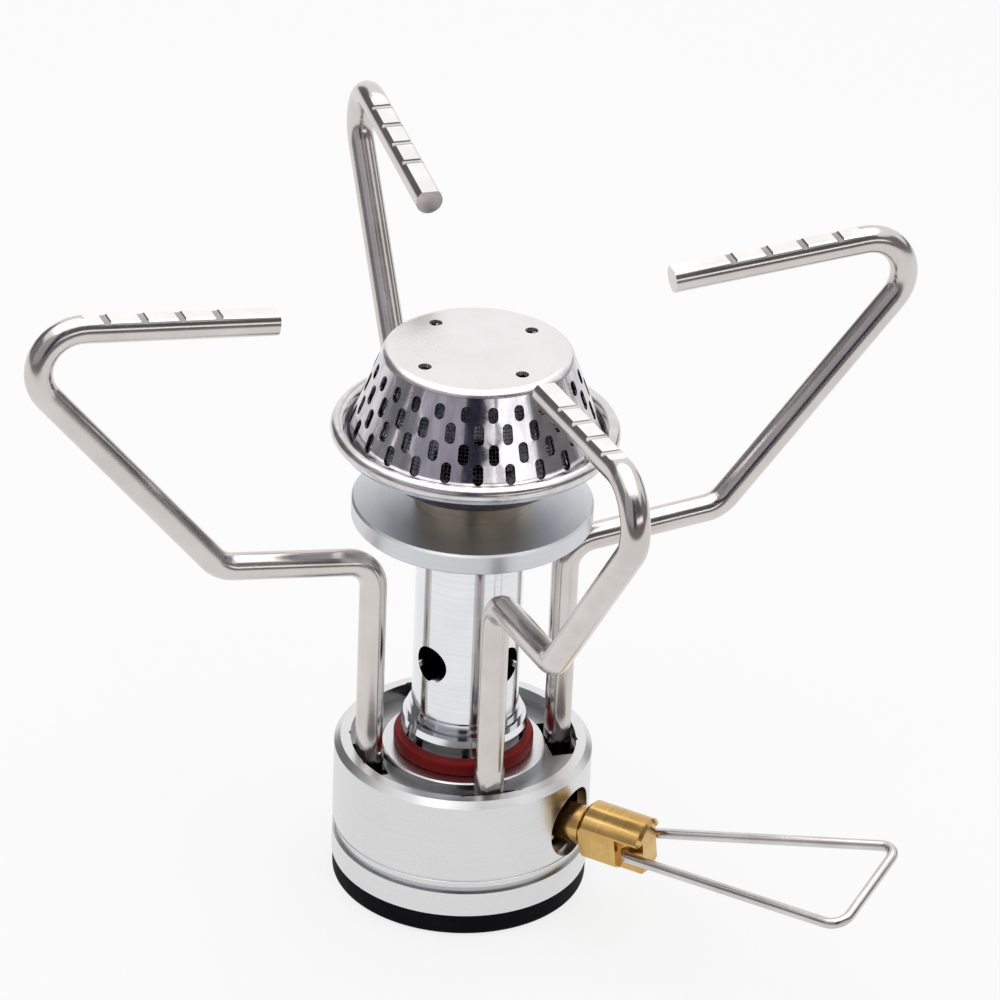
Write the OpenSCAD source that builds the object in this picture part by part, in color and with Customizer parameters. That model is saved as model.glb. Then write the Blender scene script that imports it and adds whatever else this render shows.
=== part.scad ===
// Canister-top camping stove: a turned base with a needle valve and wire handle,
// a mixing column, a perforated burner head and four folding wire pot supports.
// Sizes are in millimetres. +Z is up and +X runs out along the valve. The origin is
// where the stove's own axis meets the plane that the foot ring stands on.

/* [Base] */
// Diameter of the turned base
base_d = 38; // [37:0.5:46]
// Height of the rim around the top of the base
base_h = 22.6; // [22.2:0.1:28]
// Wall of the base around its hollow
base_wall = 1.5; // [1.2:0.1:1.8]
// Chamfer around the top of the rim
rim_chamfer = 0.9; // [0.3:0.1:1.4]
// Width of the rim beside the ring groove, chamfer included
rim_w = 2.37; // [2:0.01:3]
// Width of the ring groove that the legs stand in
groove_w = 4.53; // [4.4:0.01:5.2]
// Depth of the ring groove below the rim
groove_depth = 2.3; // [1.6:0.1:2.6]
// How far the top of the centre boss lies below the rim
boss_drop = 0.8; // [0:0.1:1.2]
// Thickness of the base's deck under the ring groove
deck_t = 3.2; // [2.4:0.1:3.6]
// Depth of the line turned below the seam of the two halves
seam_depth = 0.45; // [0.1:0.05:0.8]
// Width of the line turned below the seam
seam_w = 1; // [0.4:0.05:1.4]
// Height of the bevel around the shell's lower edge
bevel_h = 1.1; // [0.9:0.1:1.6]
// Depth of that bevel
bevel_d = 0.3; // [0.1:0.05:0.6]
// Thickness of the base plate's floor
plate_floor = 3.4; // [2.6:0.1:3.6]
// Height of the lip that centres the base plate in the shell
lip_h = 1; // [0.4:0.1:1.6]
// Height of the rubber foot ring
foot_h = 3.4; // [2.4:0.1:4]
// Width of the foot ring, across its section
foot_w = 3.6; // [2.4:0.1:4]
// How far the foot ring stands in from the side of the base
foot_inset = 0.15; // [0:0.05:0.6]
// Rounding of the foot ring's lower edge
foot_round = 0.65; // [0.2:0.05:1.2]
// How far the base plate hangs clear of the surface
plate_lift = 1; // [0.4:0.1:1.6]
// Diameter of the base screws
screw_d = 2.4; // [2:0.1:3]
// Length of the base screws under their heads
screw_l = 11; // [9:0.5:12]
// Diameter of the screw heads
screw_head_d = 4.2; // [3.6:0.1:4.8]
// Height of the screw heads
screw_head_h = 1.4; // [1:0.1:1.8]

/* [Canister socket] */
// Minor diameter of the canister thread
thread_d = 10.14; // [9.8:0.02:10.6]
// Length of the canister thread
thread_l = 6.2; // [5:0.1:6.6]
// Height of the relief above the thread
relief_h = 1.2; // [0.8:0.1:1.6]
// Depth of the relief beyond the thread
relief_d = 0.6; // [0.2:0.1:1]
// Wall of the brass collar around the thread
collar_wall = 3.4; // [2:0.1:3.6]
// Thickness of the canister seal
seal_t = 1.5; // [1:0.1:1.8]
// Diameter of the pin that opens the canister
pin_d = 1.9; // [1.4:0.1:2.2]
// Thickness of the gas filter
filter_t = 1; // [0.6:0.1:1.2]

/* [Valve] */
// Depth of the valve's axis below the rim
valve_drop = 8.4; // [8.2:0.1:9]
// Diameter of the valve port in the side of the base
port_d = 10.6; // [10.2:0.1:11]
// Material left between the port and the seam
port_seam = 0.7; // [0.4:0.1:1]
// Diameter of the valve body's side arm
arm_d = 8.8; // [8:0.1:9.2]
// How far the side arm stops short of the side of the base
arm_inset = 6.5; // [6:0.1:7.5]
// Width of the gland nut across its flats
gland_af = 8; // [7:0.1:8.4]
// Length of the gland nut
gland_l = 3; // [2:0.1:3.4]
// Diameter of the valve stem
stem_d = 4; // [3.4:0.1:4.4]
// Diameter of the neck behind the head
neck_d = 5.8; // [5:0.1:6.6]
// Diameter of the brass head
head_d = 8.6; // [8:0.1:10]
// Length of the brass head
head_l = 10.1; // [9:0.1:13]
// Gap between the base and the brass head
head_gap = 2.6; // [1.6:0.1:4]
// Chamfer on the head's ends
head_chamfer = 0.5; // [0.2:0.1:0.8]
// Width of the head across its two flats
flat_w = 6.6; // [6:0.1:7.4]
// Distance of the wire's pivot from the head's outer end
pivot_in = 2.9; // [2.6:0.1:4]
// How far the wire's pivot lies below the head's axis
pivot_drop = 0.5; // [0:0.1:0.8]
// Height of the wire's slots above the head's axis
slot_top = 2.4; // [1.8:0.1:2.6]
// Depth of the wire's slots below the flats
slot_deep = 1.35; // [1.2:0.05:1.4]
// Diameter of the needle
needle_d = 1.5; // [1.2:0.1:1.8]
// Turn of the stem about its own axis, as it was left
valve_set = 11.3; // [-90:0.1:90]

/* [Wire handle] */
// Diameter of the wire
wire_d = 1.56; // [1.2:0.02:2]
// Length of the loop from its pivot to the middle of its far end
wire_reach = 39.5; // [30:0.5:55]
// Width of the loop at its far end, between wire centres
wire_end_w = 18.6; // [14:0.1:24]
// Bend radius at the loop's far corners
wire_bend = 2.4; // [1.4:0.1:4]
// Bend radius where the wire turns into the head
stub_bend = 1.3; // [1:0.1:1.5]
// How far the loop is lifted from the line of the stem
wire_set = 11; // [-30:0.5:30]

/* [Column] */
// Diameter of the mixing column
column_d = 15.7; // [14.6:0.1:17]
// Wall of the mixing column
column_wall = 1; // [0.6:0.1:1.4]
// Height of the column from its gasket to the heat shield
column_h = 35.7; // [33:0.1:45]
// Diameter of the column's collar
collar_d = 18.6; // [17.8:0.1:20]
// Height of the plain band at the foot of the collar
band_h = 2.1; // [1:0.1:3]
// Height of the steps above that band
collar_h = 3; // [2:0.1:5]
// Number of those steps
collar_steps = 3; // [2:1:6]
// Diameter of the spigot that screws into the base
spigot_d = 14.4; // [13.4:0.1:14.6]
// Diameter of the red gasket
gasket_d = 20.6; // [19:0.1:22]
// Height of the red gasket
gasket_h = 2.2; // [1.6:0.1:3]
// Diameter of the four air holes
air_hole_d = 5.6; // [4:0.1:6]
// Height of the air holes above the gasket
air_hole_h = 14; // [11:0.1:20]
// Turn of the air holes about the column
air_hole_turn = -13; // [-45:1:45]
// Diameter of the spigot at the top of the column
tube_d = 11.8; // [10:0.1:12.4]

/* [Burner head] */
// Diameter of the heat shield disc
shield_d = 34.8; // [30:0.2:40]
// Thickness of the heat shield disc
shield_t = 3.1; // [1.5:0.1:5]
// Chamfer on the heat shield's edges
shield_chamfer = 0.3; // [0.1:0.1:0.6]
// Diameter of the nut between the shield and the cup
nut_d = 17.2; // [15:0.1:19]
// Height of that nut
nut_h = 4.8; // [3.5:0.1:8]
// Depth of the burner cup
cup_h = 5.3; // [4:0.1:9]
// Diameter of the flat bottom of the cup
cup_flat_d = 26; // [22:0.2:30]
// Thickness of the pressed steel sheet
sheet_t = 0.6; // [0.4:0.05:0.8]
// Outside diameter of the rolled rim
rim_d = 41.4; // [39:0.2:46]
// Diameter of the rolled bead
bead_d = 2.2; // [1.6:0.1:2.8]
// Height of the burner head above the cup's lip
crown_h = 13.8; // [11:0.1:18]
// Diameter of the top plate's flat
plate_d = 24.9; // [22.5:0.1:28]
// Radius of the top plate's rounded shoulder
shoulder_r = 1.3; // [1:0.1:1.8]
// Diameter of the holes in the top plate
plate_hole_d = 1.9; // [1:0.1:2.6]
// Diameter of the circle that those holes lie on
plate_hole_pcd = 19.4; // [16:0.2:21]
// Turn of the holes in the top plate
plate_hole_turn = -21; // [-45:1:45]
// Slots in each row around the cone
slot_count = 24; // [18:1:26]
// Rows of slots
slot_rows = 4; // [2:1:4]
// Length of a slot up the cone
slot_l = 3; // [2:0.1:3.2]
// Length of a slot in the top row
slot_top_l = 2.3; // [1.8:0.1:3]
// Width of a slot
slot_w = 1.45; // [0.8:0.05:1.5]
// Distance from one row of slots to the next, up the cone
slot_pitch = 2.8; // [2.2:0.05:2.9]
// Turn of the rows about the burner
slot_turn = 1; // [-7:0.5:7]

/* [Pot supports] */
// Diameter of the support rods
rod_d = 4; // [3.6:0.05:4.2]
// Height of the lower run where it leaves the leg
run_h = 53.7; // [48:0.1:54.5]
// Length of the lower run, out from the leg
run_l = 23.2; // [21:0.1:30]
// How far the lower run rises on its way out
run_rise = 3; // [0:0.1:6]
// Reach of the top corner, out from the leg
reach = 57.4; // [50:0.2:75]
// Height of the top corner
top_h = 98.8; // [96:0.1:120]
// How far the inner tip lies below the top corner
tip_drop = 4.2; // [0:0.1:4.4]
// Distance of each tip from the line of its leg
tip_gap = [14, 13, 15.4, 15.4]; // [8:0.1:22]
// Bend radius at the top of the leg
leg_bend = 4.6; // [3:0.1:7]
// Bend radius at the knee
knee_bend = 5; // [3:0.1:8]
// Bend radius at the top corner
top_bend = 6; // [4:0.1:8]
// Notches in each top run
notch_count = 4; // [1:1:5]
// Distance of the first notch from the tip
notch_first = 8.9; // [5:0.1:12]
// Distance from one notch to the next
notch_pitch = 5.4; // [4:0.1:6]
// Depth of a notch below the flat
notch_depth = 0.4; // [0.2:0.05:0.7]
// Radius of the tool that presses the notches
notch_r = 1; // [0.8:0.1:1.6]
// Depth of the flat pressed along the notched length
flat_depth = 0.4; // [0.2:0.05:0.6]
// How far the flat runs on past the last notch
flat_past = 2.2; // [1.4:0.1:2.6]
// Length of the slope at the flat's end
flat_ramp = 1.2; // [0.6:0.1:1.6]
// Width of the crimped lug on each leg
lug_w = 4.4; // [4.1:0.05:4.45]
// Thickness of the crimped lug
lug_t = 3.4; // [2.8:0.1:3.8]
// Height of the crimped lug
lug_h = 7.3; // [4:0.1:9]
// Length of the slot that each lug drops into
pocket_l = 9.2; // [7:0.1:10]
// Width of that slot
pocket_w = 3.8; // [3.6:0.1:4.2]
// Depth of the slots below the groove
pocket_depth = 1.8; // [0.8:0.1:2]
// Height of the bearing boss around each leg, under the deck
leg_boss_h = 4.5; // [3:0.1:5]
// Thickness of the leg clips
clip_t = 0.8; // [0.5:0.1:1]
// Length of a leg's spring, with the leg down
spring_l = 3.6; // [3.2:0.1:5]
// Diameter of the springs' wire
spring_wire = 0.5; // [0.3:0.05:0.6]
// How far each support stands off its own radius, as it was left
support_set = [3, 2, 5.5, 4.5]; // [-8:0.5:8]
// How far each sprung support was left standing up
support_rise = [0, 2.2, 0, 0]; // [0:0.1:2.3]

/* [Fits] */
// Running clearance of legs, stem and wire, on radius
run_fit = 0.06; // [0.02:0.01:0.1]
// Clearance of fixed pieces that slip together, on radius
slip_fit = 0.05; // [0.02:0.01:0.1]
// Gap between pieces that face each other and stay apart
face_gap = 0.2; // [0.1:0.05:0.3]

/* [Hidden] */
$fn = 64;
overcut = 1;
legs = 4;
leg_turn = 45;
SCREW_ANGLES = [90, 180, 270];

// Levels of the base
base_r = base_d / 2;
groove_ro = base_r - rim_w;
groove_ri = groove_ro - groove_w;
leg_r = (groove_ro + groove_ri) / 2;
floor_z = base_h - groove_depth;
boss_z = base_h - boss_drop;
deck_z = floor_z - deck_t;
valve_z = base_h - valve_drop;
seam_z = valve_z - port_d / 2 - port_seam;
hollow_r = base_r - base_wall;
plate_top = plate_lift + plate_floor;
foot_ro = base_r - foot_inset;
foot_ri = foot_ro - foot_w;

// Legs in the base
leg_boss_wall = 2.2;
leg_boss_r = rod_d / 2 + leg_boss_wall;
leg_boss_z = deck_z - leg_boss_h;
pocket_z = floor_z - pocket_depth;
lug_z = pocket_z + face_gap;
lug_top = lug_z + lug_h;
spring_top = leg_boss_z - face_gap / 2;
spring_z = leg_boss_z - spring_l;
spring_r = rod_d / 2 + 2 * run_fit;
clip_z = spring_z - clip_t - face_gap / 2;
clip_r = hollow_r - leg_r - face_gap;
clip_groove_r = rod_d / 2 - 0.4;
leg_end = clip_z - clip_t;

// Valve body
thread_r = thread_d / 2;
collar_r = thread_r + collar_wall;
core_step = 0.6;
core_r = collar_r + core_step;
hub_wall = 2;
hub_r = collar_r + slip_fit + hub_wall;
screw_wall = 1.5;
screw_boss_r = screw_d / 2 + screw_wall;
screw_r = (collar_r + foot_ri) / 2;
boss_gap = 2 * face_gap;
seat_z = thread_l + relief_h;
seal_z = seat_z + seal_t + face_gap;
filter_z = seal_z + filter_t;
filter_r = 3.3;
seal_major = thread_r - seal_t / 2 - face_gap;
pin_z = thread_l + 0.6;
chamber_r = needle_d / 2 + 0.55;
pin_top = valve_z - chamber_r - 0.4;
inlet_x = 2.7;
inlet_r = 0.5;
seat_x = 1.9;
orifice_r = needle_d / 2 - 0.15;
outlet_r = 1;
arm_end = base_r - arm_inset;
stem_x = 5;
packing_l = 2;
packing_r = stem_d / 2 + 1;
packing_spigot = 0.8;
jet_z = valve_z + arm_d / 2 + face_gap;
jet_seat_z = jet_z + 1.6;
jet_thread_r = 2;
jet_thread_l = 2.2;
jet_hex_af = 5;
jet_hex_h = 1.6;
jet_tip_r = 1.6;
jet_tip_h = 3;
jet_hole_r = 0.3;
crown_r = 5.2;

// Valve stem and handle
neck_x = arm_end + gland_l + 0.7;
head_x = base_r + head_gap;
head_end = head_x + head_l;
waist_l = 0.6;
waist_r = neck_d / 2 - 0.5;
pivot_x = head_end - pivot_in;
wire_pocket = wire_d / 2 + 0.35;
wire_half = flat_w / 2 - slot_deep + face_gap / 2 + wire_d / 2;
wire_stub = 0.4;
needle_grip = 3;

// Column and burner head
gasket_z = boss_z + gasket_h;
column_r = column_d / 2;
spigot_z = jet_z;
spigot_bore = crown_r + 2 * slip_fit;
shield_z = gasket_z + column_h;
nut_z = shield_z + shield_t;
cup_z = nut_z + nut_h;
tube_top = cup_z + sheet_t + 0.8;
tube_r = tube_d / 2;
tube_wall = 0.9;
lip_z = cup_z + cup_h;
bead_r = bead_d / 2;
rim_major = rim_d / 2 - bead_r;
bead_z = lip_z + bead_r;
cone_foot = 0.7;
cone_z = lip_z + cone_foot;
cone_base_r = rim_major - bead_r - face_gap;
crown_z = lip_z + crown_h;
flat_r = plate_d / 2;
shoulder_z = crown_z - shoulder_r;
cone_foot_at = [cone_base_r - flat_r, cone_z - shoulder_z];
cone_lean = acos(shoulder_r / norm(cone_foot_at)) + atan2(cone_foot_at.y, cone_foot_at.x);
cone_top_r = flat_r + shoulder_r * cos(cone_lean);
plate_low_z = shoulder_z + shoulder_r * sin(cone_lean);
cone_top_z = plate_low_z - slip_fit;
cone_slope = norm([cone_base_r - cone_top_r, cone_top_z - cone_z]);
slot_first = (cone_slope - (slot_rows - 1) * slot_pitch) / 2;
mesh_gap = 0.3;
mesh_t = 0.4;

// Bands where the runs and bends of a rod meet
band_l = 0.3;
band_t = 0.03;

// Shape of one support, in the plane of its bends
function support_path(i) = [
    [0, lug_top],
    [0, run_h],
    [run_l, run_h + run_rise],
    [reach, top_h],
    [tip_gap[i], top_h - tip_drop]
];
SUPPORT_BENDS = [leg_bend, knee_bend, top_bend];

// Shape of the wire loop, in its own plane
WIRE_PATH = [
    [0, wire_stub],
    [0, wire_half],
    [wire_reach, wire_end_w / 2],
    [wire_reach, -wire_end_w / 2],
    [0, -wire_half],
    [0, -wire_stub]
];
WIRE_BENDS = [stub_bend, wire_bend, wire_bend, stub_bend];

// Bent rod: straight runs and round bends along a path in the XY plane
function unit(v) = v / norm(v);
function cross2(u, v) = u.x * v.y - u.y * v.x;
function bend_angle(a, b, c) = acos(unit(b - a) * unit(c - b));
function bend_cut(a, b, c, r) = r * tan(bend_angle(a, b, c) / 2);
function cut_at(path, bends, i) =
    i == 0 || i == len(path) - 1 ? 0 : bend_cut(path[i - 1], path[i], path[i + 1], bends[i - 1]);

module rod_run(a, b, d) {
    v = b - a;
    translate([a.x, a.y, 0])
        rotate([0, 0, atan2(v.y, v.x)])
        rotate([0, 90, 0])
        cylinder(d = d, h = norm(v));
}

module rod_bend(a, b, c, r, d) {
    u = unit(b - a);
    side = cross2(u, unit(c - b)) > 0 ? 1 : -1;
    inward = side * [-u.y, u.x];
    turn = bend_angle(a, b, c);
    centre = b - bend_cut(a, b, c, r) * u + r * inward;
    start = atan2(-inward.y, -inward.x);
    translate([centre.x, centre.y, 0])
        rotate([0, 0, side > 0 ? start : start - turn])
        rotate_extrude(angle = turn)
        translate([r, 0])
        circle(d = d);
}

// A fine band around each end of a run, which joins it to the bend in one solid
module bent_rod(path, bends, d) {
    last = len(path) - 1;
    for (i = [0:last - 1]) {
        u = unit(path[i + 1] - path[i]);
        from = path[i] + cut_at(path, bends, i) * u;
        to = path[i + 1] - cut_at(path, bends, i + 1) * u;
        rod_run(from, to, d);
        if (i > 0)
            rod_run(from - band_l / 2 * u, from + band_l / 2 * u, d + 2 * band_t);
        if (i < last - 1)
            rod_run(to - band_l / 2 * u, to + band_l / 2 * u, d + 2 * band_t);
    }
    for (i = [1:last - 1])
        rod_bend(path[i - 1], path[i], path[i + 1], bends[i - 1], d);
}

module ring(ro, ri, z0, z1) {
    difference() {
        translate([0, 0, z0])
            cylinder(r = ro, h = z1 - z0);
        translate([0, 0, z0 - overcut])
            cylinder(r = ri, h = z1 - z0 + 2 * overcut);
    }
}

module torus(major, minor) {
    rotate_extrude()
        translate([major, 0])
        circle(r = minor);
}

module at_leg(i) {
    rotate([0, 0, leg_turn + i * 360 / legs])
        translate([leg_r, 0, 0])
        children();
}

module at_legs() {
    for (i = [0:legs - 1])
        at_leg(i)
            children();
}

module at_screws() {
    for (a = SCREW_ANGLES)
        rotate([0, 0, a])
            translate([screw_r, 0, 0])
            children();
}

// Puts what is drawn along +Z onto the valve's axis, from the stove's axis outwards
module along_valve(turn = 0) {
    translate([0, 0, valve_z])
        rotate([turn, 0, 0])
        rotate([0, 90, 0])
        children();
}

// Base

module shell_profile() {
    bore_r = spigot_d / 2 + slip_fit;
    polygon([
        [base_r - bevel_d, seam_z],
        [base_r, seam_z + bevel_h],
        [base_r, base_h - rim_chamfer],
        [base_r - rim_chamfer, base_h],
        [groove_ro, base_h],
        [groove_ro, floor_z],
        [groove_ri, floor_z],
        [groove_ri, boss_z - face_gap],
        [groove_ri - face_gap, boss_z],
        [bore_r, boss_z],
        [bore_r, deck_z],
        [hollow_r, deck_z],
        [hollow_r, seam_z]
    ]);
}

module leg_pocket() {
    translate([0, 0, pocket_z])
        cylinder(d = lug_w + face_gap / 4, h = groove_depth + pocket_depth);
    translate([-pocket_w / 2, -pocket_l / 2, pocket_z])
        cube([pocket_w, pocket_l, groove_depth + pocket_depth]);
    translate([0, 0, leg_boss_z - overcut])
        cylinder(r = rod_d / 2 + run_fit, h = pocket_z - leg_boss_z + 2 * overcut);
}

module base_shell() {
    color("gainsboro")
        difference() {
            union() {
                rotate_extrude()
                    shell_profile();
                intersection() {
                    at_legs()
                        translate([0, 0, leg_boss_z])
                        cylinder(r = leg_boss_r, h = deck_t + leg_boss_h - pocket_depth);
                    cylinder(r = base_r - base_wall / 2, h = base_h);
                }
                at_screws()
                    translate([0, 0, seam_z])
                    cylinder(r = screw_boss_r, h = deck_z - seam_z + deck_t / 2);
            }
            at_legs()
                leg_pocket();
            along_valve()
                cylinder(d = port_d, h = base_r + overcut);
            at_screws()
                translate([0, 0, seam_z - overcut])
                cylinder(d = screw_d + 2 * slip_fit, h = deck_z - seam_z + overcut);
        }
}

module plate_profile() {
    lip_ro = hollow_r - slip_fit;
    polygon([
        [collar_r + slip_fit, plate_lift],
        [foot_ri - slip_fit, plate_lift],
        [foot_ri - slip_fit, foot_h],
        [base_r, foot_h],
        [base_r, seam_z - seam_w],
        [base_r - seam_depth, seam_z - seam_w],
        [base_r - seam_depth, seam_z],
        [lip_ro, seam_z],
        [lip_ro, seam_z + lip_h],
        [lip_ro - base_wall, seam_z + lip_h],
        [lip_ro - base_wall, plate_top],
        [hub_r, plate_top],
        [hub_r, seam_z],
        [collar_r + slip_fit, seam_z]
    ]);
}

module base_plate() {
    color("silver")
        difference() {
            union() {
                rotate_extrude()
                    plate_profile();
                at_screws()
                    translate([0, 0, plate_top - plate_floor / 2])
                    cylinder(r = screw_boss_r, h = seam_z - plate_top + plate_floor / 2);
            }
            at_screws() {
                translate([0, 0, plate_lift - overcut])
                    cylinder(d = screw_d + 2 * slip_fit, h = seam_z);
                translate([0, 0, plate_lift - overcut])
                    cylinder(d = screw_head_d + 4 * slip_fit, h = screw_head_h + overcut);
            }
            at_legs()
                translate([0, 0, leg_end - face_gap])
                cylinder(r = clip_r + face_gap, h = seam_z + lip_h);
        }
}

module foot_ring() {
    color("black")
        rotate_extrude()
        union() {
            translate([foot_ri, 0])
                square([foot_w - foot_round, foot_h]);
            translate([foot_ri, foot_round])
                square([foot_w, foot_h - foot_round]);
            translate([foot_ro - foot_round, foot_round])
                circle(r = foot_round);
        }
}

module base_screws() {
    socket_af = screw_head_d / 2.2;
    color("dimgray")
        at_screws()
        difference() {
            union() {
                translate([0, 0, plate_lift])
                    cylinder(d = screw_head_d, h = screw_head_h);
                translate([0, 0, plate_lift + screw_head_h])
                    cylinder(d = screw_d, h = screw_l);
            }
            translate([0, 0, plate_lift - overcut])
                cylinder(d = socket_af, h = overcut + screw_head_h / 2, $fn = 6);
        }
}

// Gas way

module valve_body() {
    color("goldenrod")
        difference() {
            union() {
                cylinder(r = collar_r, h = seam_z);
                translate([0, 0, seam_z])
                    cylinder(r = core_r, h = deck_z - seam_z);
                translate([0, 0, deck_z])
                    cylinder(r = crown_r, h = jet_seat_z - deck_z);
                along_valve()
                    cylinder(d = arm_d, h = arm_end);
            }
            at_screws()
                translate([0, 0, seam_z])
                cylinder(r = screw_boss_r + boss_gap, h = deck_z);
            at_legs()
                translate([0, 0, seam_z])
                cylinder(r = leg_boss_r + boss_gap, h = deck_z);
            translate([0, 0, -overcut])
                cylinder(r = thread_r, h = seal_z + overcut);
            translate([0, 0, thread_l])
                cylinder(r = thread_r + relief_d, h = relief_h);
            translate([0, 0, seal_z - overcut / 2])
                cylinder(r = filter_r + slip_fit, h = filter_t + overcut / 2);
            translate([0, 0, filter_z - overcut / 2])
                cylinder(r = pin_d / 2 + slip_fit, h = pin_top - filter_z + overcut / 2);
            translate([inlet_x, 0, filter_z - overcut / 2])
                cylinder(r = inlet_r, h = valve_z - filter_z + overcut / 2);
            translate([0, 0, valve_z])
                cylinder(r = outlet_r, h = jet_seat_z - valve_z + overcut);
            translate([0, 0, jet_seat_z - jet_thread_l - face_gap])
                cylinder(r = jet_thread_r + slip_fit, h = jet_thread_l + face_gap + overcut);
            along_valve()
                cylinder(r = orifice_r, h = seat_x + overcut);
            along_valve()
                translate([0, 0, seat_x])
                cylinder(r = chamber_r, h = stem_x - seat_x + overcut);
            along_valve()
                translate([0, 0, stem_x - face_gap])
                cylinder(r = stem_d / 2 + run_fit, h = arm_end - stem_x + overcut);
            along_valve()
                translate([0, 0, arm_end - packing_l])
                cylinder(r = packing_r, h = packing_l + overcut);
        }
}

module canister_seal() {
    color("dimgray")
        translate([0, 0, seal_z - seal_t / 2 - face_gap / 4])
        torus(seal_major, seal_t / 2);
}

module depressor_pin() {
    nose = 0.4;
    color("lightgray") {
        translate([0, 0, pin_z])
            cylinder(d1 = pin_d - 2 * nose, d2 = pin_d, h = nose);
        translate([0, 0, pin_z + nose])
            cylinder(d = pin_d, h = pin_top - pin_z - nose);
    }
}

module gas_filter() {
    color("tan")
        ring(filter_r, pin_d / 2 + slip_fit, seal_z, filter_z);
}

module jet() {
    color("gold")
        difference() {
            union() {
                translate([0, 0, jet_seat_z - jet_thread_l])
                    cylinder(r = jet_thread_r, h = jet_thread_l);
                translate([0, 0, jet_seat_z])
                    cylinder(d = jet_hex_af / cos(30), h = jet_hex_h, $fn = 6);
                translate([0, 0, jet_seat_z + jet_hex_h])
                    cylinder(r = jet_tip_r, h = jet_tip_h);
            }
            translate([0, 0, jet_seat_z - jet_thread_l - overcut])
                cylinder(r = outlet_r, h = jet_thread_l + jet_hex_h + overcut);
            translate([0, 0, jet_seat_z])
                cylinder(r = jet_hole_r, h = jet_hex_h + jet_tip_h + overcut);
        }
}

module gland_nut() {
    color("darkgoldenrod")
        along_valve()
        difference() {
            union() {
                translate([0, 0, arm_end])
                    cylinder(d = gland_af / cos(30), h = gland_l, $fn = 6);
                translate([0, 0, arm_end - packing_spigot])
                    cylinder(r = packing_r - slip_fit, h = packing_spigot);
            }
            translate([0, 0, arm_end - packing_l])
                cylinder(r = stem_d / 2 + run_fit, h = packing_l + gland_l + overcut);
        }
}

module spindle_seal() {
    room = packing_l - packing_spigot;
    minor = (packing_r - stem_d / 2 - 2 * run_fit) / 2;
    color("black")
        along_valve()
        translate([0, 0, arm_end - packing_spigot - room / 2])
        torus(stem_d / 2 + run_fit + minor, minor);
}

// Needle, stem and handle

module valve_needle() {
    tip_l = 1.4;
    tip_r = needle_d / 2 - 0.5;
    shoulder = seat_x + 0.8;
    color("lightgray")
        along_valve()
        union() {
            translate([0, 0, shoulder - tip_l])
                cylinder(r1 = tip_r, r2 = needle_d / 2, h = tip_l);
            translate([0, 0, shoulder])
                cylinder(d = needle_d, h = stem_x + needle_grip - shoulder - face_gap);
        }
}

module head_blank() {
    translate([0, 0, head_x])
        cylinder(r1 = head_d / 2 - head_chamfer, r2 = head_d / 2, h = head_chamfer);
    translate([0, 0, head_x + head_chamfer])
        cylinder(d = head_d, h = head_l - 2 * head_chamfer);
    translate([0, 0, head_end - head_chamfer])
        cylinder(r1 = head_d / 2, r2 = head_d / 2 - head_chamfer, h = head_chamfer);
}

// Flats, the wire's pivot hole, and a slot in each flat that is open below and in front
module head_cuts() {
    for (side = [-1, 1]) {
        translate([0, side * (flat_w + head_d) / 2, head_x + head_l / 2])
            cube([head_d + overcut, head_d, head_l + overcut], center = true);
        translate([-slot_top, side * flat_w / 2 - slot_deep, pivot_x - wire_pocket])
            cube([slot_top + head_d, 2 * slot_deep, pivot_in + wire_pocket + overcut]);
    }
    translate([pivot_drop, 0, pivot_x])
        rotate([90, 0, 0])
        cylinder(r = wire_d / 2 + run_fit, h = head_d + overcut, center = true);
}

module valve_spindle() {
    color("goldenrod")
        along_valve(valve_set)
        difference() {
            union() {
                translate([0, 0, stem_x])
                    cylinder(d = stem_d, h = neck_x - stem_x);
                translate([0, 0, neck_x])
                    cylinder(d = neck_d, h = head_x - waist_l - neck_x);
                translate([0, 0, head_x - waist_l])
                    cylinder(r = waist_r, h = waist_l);
                head_blank();
            }
            head_cuts();
            translate([0, 0, stem_x - overcut])
                cylinder(r = needle_d / 2 + run_fit, h = needle_grip + overcut);
        }
}

module control_wire() {
    color("lightsteelblue")
        translate([0, 0, valve_z])
        rotate([valve_set, 0, 0])
        translate([pivot_x, 0, -pivot_drop])
        rotate([0, -wire_set, 0])
        bent_rod(WIRE_PATH, WIRE_BENDS, wire_d);
}

// Column and burner head

module column_gasket() {
    ri = spigot_d / 2 + slip_fit;
    ro = gasket_d / 2;
    round_r = gasket_h / 4;
    color("firebrick")
        rotate_extrude()
        union() {
            translate([ri, boss_z])
                square([ro - round_r - ri, gasket_h]);
            translate([ri, boss_z + round_r])
                square([ro - ri, gasket_h - 2 * round_r]);
            for (z = [boss_z + round_r, gasket_z - round_r])
                translate([ro - round_r, z])
                    circle(r = round_r);
        }
}

module column_profile() {
    inner_r = column_r - column_wall;
    step_r = (collar_d / 2 - column_r) / collar_steps;
    step_h = collar_h / collar_steps;
    collar_z = gasket_z + band_h + collar_h;
    polygon(concat(
        [
            [spigot_bore, spigot_z],
            [spigot_d / 2, spigot_z],
            [spigot_d / 2, gasket_z],
            [collar_d / 2, gasket_z]
        ],
        [for (i = [0:collar_steps - 1], z = [i, i + 1])
            [collar_d / 2 - (z > 0 ? i + 0.5 : 0) * step_r, gasket_z + band_h + z * step_h]],
        [
            [column_r, collar_z],
            [column_r, shield_z],
            [tube_r, shield_z],
            [tube_r, tube_top],
            [tube_r - tube_wall, tube_top],
            [tube_r - tube_wall, shield_z - column_wall],
            [inner_r, shield_z - column_wall - inner_r + tube_r - tube_wall],
            [inner_r, collar_z],
            [spigot_bore, collar_z - inner_r + spigot_bore]
        ]
    ));
}

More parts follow.
